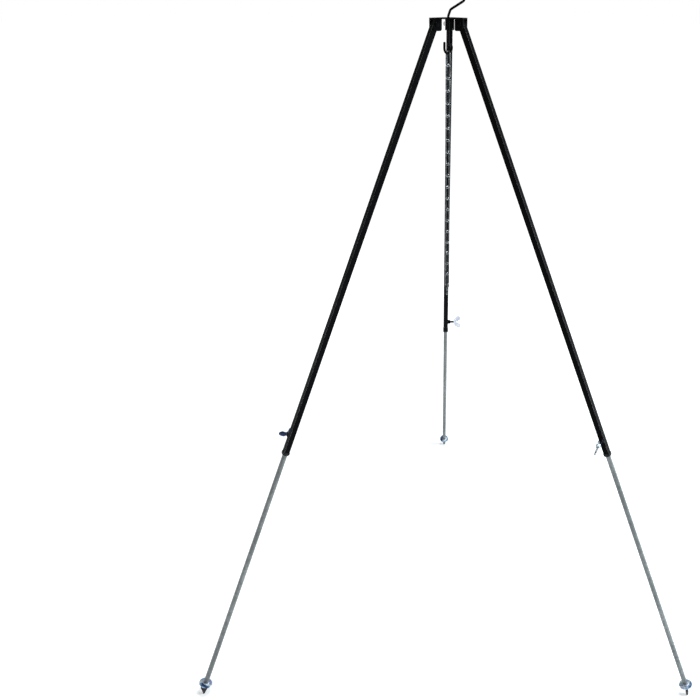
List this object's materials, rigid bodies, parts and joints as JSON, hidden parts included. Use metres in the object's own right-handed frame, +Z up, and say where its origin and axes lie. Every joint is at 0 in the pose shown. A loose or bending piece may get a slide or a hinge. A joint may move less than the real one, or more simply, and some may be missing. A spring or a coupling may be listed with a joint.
{
  "type": "campfire tripod",
  "caption": "Folding telescopic campfire tripod: three square-tube legs with sliding round feet, wing-screw clamps, a swivelling hanger rod, a long-link chain and a pot hook.",
  "frame": {"origin": "on the ground, at the centre of the bounding box's base", "axes": "+Z up; +Y towards the rear leg; +X to the right of someone who faces +Y"},
  "size_m": [1.4156, 1.2309, 1.8745],
  "materials": {
    "black_paint": "gloss black stove paint over steel",
    "galvanised_tube": "dull galvanised steel tube",
    "blue_zinc": "bright blue-passivated zinc plate",
    "zinc_steel": "grey zinc-plated steel wire",
    "bare_iron": "dark brown bare iron",
    "black_plastic": "smooth black plastic"
  },
  "bodies": {
    "head": {"head_plate": "black_paint", "rear_bracket": "black_paint", "left_bracket": "black_paint", "right_bracket": "black_paint", "rear_pivot_rivet": "black_paint", "left_pivot_rivet": "black_paint", "right_pivot_rivet": "black_paint"},
    "rear_upper": {"rear_upper_leg": "black_paint", "rear_end_bush": "black_plastic", "rear_clamp_boss": "black_paint"},
    "rear_screw": {"rear_wing_screw": "blue_zinc"},
    "rear_lower": {"rear_lower_leg": "galvanised_tube", "rear_foot_disc": "blue_zinc", "rear_foot_spike": "bare_iron"},
    "left_upper": {"left_upper_leg": "black_paint", "left_end_bush": "black_plastic", "left_clamp_boss": "black_paint"},
    "left_screw": {"left_wing_screw": "blue_zinc"},
    "left_lower": {"left_lower_leg": "galvanised_tube", "left_foot_disc": "blue_zinc", "left_foot_spike": "bare_iron"},
    "right_upper": {"right_upper_leg": "black_paint", "right_end_bush": "black_plastic", "right_clamp_boss": "black_paint"},
    "right_screw": {"right_wing_screw": "blue_zinc"},
    "right_lower": {"right_lower_leg": "galvanised_tube", "right_foot_disc": "blue_zinc", "right_foot_spike": "bare_iron"},
    "hanger": {"chain_hanger": "black_paint"},
    "link_01": {"chain_link_01": "zinc_steel"},
    "link_02": {"chain_link_02": "zinc_steel"},
    "link_03": {"chain_link_03": "zinc_steel"},
    "link_04": {"chain_link_04": "zinc_steel"},
    "link_05": {"chain_link_05": "zinc_steel"},
    "link_06": {"chain_link_06": "zinc_steel"},
    "link_07": {"chain_link_07": "zinc_steel"},
    "link_08": {"chain_link_08": "zinc_steel"},
    "link_09": {"chain_link_09": "zinc_steel"},
    "link_10": {"chain_link_10": "zinc_steel"},
    "link_11": {"chain_link_11": "zinc_steel"},
    "link_12": {"chain_link_12": "zinc_steel"},
    "link_13": {"chain_link_13": "zinc_steel"},
    "link_14": {"chain_link_14": "zinc_steel"},
    "link_15": {"chain_link_15": "zinc_steel"},
    "link_16": {"chain_link_16": "zinc_steel"},
    "link_17": {"chain_link_17": "zinc_steel"},
    "link_18": {"chain_link_18": "zinc_steel"},
    "link_19": {"chain_link_19": "zinc_steel"},
    "link_20": {"chain_link_20": "zinc_steel"},
    "pot_hook_body": {"pot_hook": "zinc_steel"}
  },
  "joints": [
    {"name": "rear_leg_fold", "type": "hinge", "parent": "head", "child": "rear_upper", "pos_m": [0.00374, -0.16067, 1.8], "axis": [-0.9999, -0.0122, 0], "range_deg": [0, 23.25]},
    {"name": "rear_leg_slide", "type": "slide", "parent": "rear_upper", "child": "rear_lower", "axis": [0.0048, -0.395, 0.9187], "range_m": [0, 0.74]},
    {"name": "rear_screw_turn", "type": "hinge", "parent": "rear_upper", "child": "rear_screw", "pos_m": [-0.0017, 0.28409, 0.76558], "axis": [0.9999, 0.0122, 0], "range_deg": [0, 360]},
    {"name": "left_leg_fold", "type": "hinge", "parent": "head", "child": "left_upper", "pos_m": [-0.03291, -0.21772, 1.8], "axis": [0.5, -0.866, 0], "range_deg": [0, 23.25]},
    {"name": "left_leg_slide", "type": "slide", "parent": "left_upper", "child": "left_lower", "axis": [0.3421, 0.1975, 0.9187], "range_m": [0, 0.74]},
    {"name": "left_screw_turn", "type": "hinge", "parent": "left_upper", "child": "left_screw", "pos_m": [-0.41812, -0.44012, 0.76558], "axis": [-0.5, 0.866, 0], "range_deg": [0, 360]},
    {"name": "right_leg_fold", "type": "hinge", "parent": "head", "child": "right_upper", "pos_m": [0.03291, -0.21772, 1.8], "axis": [0.5, 0.866, 0], "range_deg": [0, 23.25]},
    {"name": "right_leg_slide", "type": "slide", "parent": "right_upper", "child": "right_lower", "axis": [-0.3421, 0.1975, 0.9187], "range_m": [0, 0.74]},
    {"name": "right_screw_turn", "type": "hinge", "parent": "right_upper", "child": "right_screw", "pos_m": [0.41812, -0.44012, 0.76558], "axis": [-0.5, -0.866, 0], "range_deg": [0, 360]},
    {"name": "hanger_swivel", "type": "hinge", "parent": "head", "child": "hanger", "pos_m": [0, -0.19872, 1.812], "axis": [0, 0, 1], "continuous": true},
    {"name": "link_01_swing", "type": "hinge", "parent": "hanger", "child": "link_01", "pos_m": [0, -0.19872, 1.732], "axis": [0.7071, 0.7071, 0], "range_deg": [-20, 20]},
    {"name": "link_02_swing", "type": "hinge", "parent": "link_01", "child": "link_02", "pos_m": [0, -0.19872, 1.702], "axis": [0.7071, -0.7071, 0], "range_deg": [-20, 20]},
    {"name": "link_03_swing", "type": "hinge", "parent": "link_02", "child": "link_03", "pos_m": [0, -0.19872, 1.671], "axis": [-0.7071, -0.7071, 0], "range_deg": [-20, 20]},
    {"name": "link_04_swing", "type": "hinge", "parent": "link_03", "child": "link_04", "pos_m": [0, -0.19872, 1.64], "axis": [-0.7071, 0.7071, 0], "range_deg": [-20, 20]},
    {"name": "link_05_swing", "type": "hinge", "parent": "link_04", "child": "link_05", "pos_m": [0, -0.19872, 1.609], "axis": [-0.7071, -0.7071, 0], "range_deg": [-20, 20]},
    {"name": "link_06_swing", "type": "hinge", "parent": "link_05", "child": "link_06", "pos_m": [0, -0.19872, 1.578], "axis": [-0.7071, 0.7071, 0], "range_deg": [-20, 20]},
    {"name": "link_07_swing", "type": "hinge", "parent": "link_06", "child": "link_07", "pos_m": [0, -0.19872, 1.547], "axis": [0.7071, 0.7071, 0], "range_deg": [-20, 20]},
    {"name": "link_08_swing", "type": "hinge", "parent": "link_07", "child": "link_08", "pos_m": [0, -0.19872, 1.516], "axis": [0.7071, -0.7071, 0], "range_deg": [-20, 20]},
    {"name": "link_09_swing", "type": "hinge", "parent": "link_08", "child": "link_09", "pos_m": [0, -0.19872, 1.485], "axis": [-0.7071, -0.7071, 0], "range_deg": [-20, 20]},
    {"name": "link_10_swing", "type": "hinge", "parent": "link_09", "child": "link_10", "pos_m": [0, -0.19872, 1.454], "axis": [0.7071, -0.7071, 0], "range_deg": [-20, 20]},
    {"name": "link_11_swing", "type": "hinge", "parent": "link_10", "child": "link_11", "pos_m": [0, -0.19872, 1.423], "axis": [0.7071, 0.7071, 0], "range_deg": [-20, 20]},
    {"name": "link_12_swing", "type": "hinge", "parent": "link_11", "child": "link_12", "pos_m": [0, -0.19872, 1.392], "axis": [-0.7071, 0.7071, 0], "range_deg": [-20, 20]},
    {"name": "link_13_swing", "type": "hinge", "parent": "link_12", "child": "link_13", "pos_m": [0, -0.19872, 1.361], "axis": [0.7071, 0.7071, 0], "range_deg": [-20, 20]},
    {"name": "link_14_swing", "type": "hinge", "parent": "link_13", "child": "link_14", "pos_m": [0, -0.19872, 1.33], "axis": [-0.7071, 0.7071, 0], "range_deg": [-20, 20]},
    {"name": "link_15_swing", "type": "hinge", "parent": "link_14", "child": "link_15", "pos_m": [0, -0.19872, 1.299], "axis": [-0.7071, -0.7071, 0], "range_deg": [-20, 20]},
    {"name": "link_16_swing", "type": "hinge", "parent": "link_15", "child": "link_16", "pos_m": [0, -0.19872, 1.268], "axis": [0.7071, -0.7071, 0], "range_deg": [-20, 20]},
    {"name": "link_17_swing", "type": "hinge", "parent": "link_16", "child": "link_17", "pos_m": [0, -0.19872, 1.237], "axis": [-0.7071, -0.7071, 0], "range_deg": [-20, 20]},
    {"name": "link_18_swing", "type": "hinge", "parent": "link_17", "child": "link_18", "pos_m": [0, -0.19872, 1.206], "axis": [0.7071, -0.7071, 0], "range_deg": [-20, 20]},
    {"name": "link_19_swing", "type": "hinge", "parent": "link_18", "child": "link_19", "pos_m": [0, -0.19872, 1.175], "axis": [0.7071, 0.7071, 0], "range_deg": [-20, 20]},
    {"name": "link_20_swing", "type": "hinge", "parent": "link_19", "child": "link_20", "pos_m": [0, -0.19872, 1.144], "axis": [-0.7071, 0.7071, 0], "range_deg": [-20, 20]},
    {"name": "pot_hook_swing", "type": "hinge", "parent": "link_20", "child": "pot_hook_body", "pos_m": [0, -0.19872, 1.113], "axis": [-0.7071, -0.7071, 0], "range_deg": [-20, 20]}
  ]
}
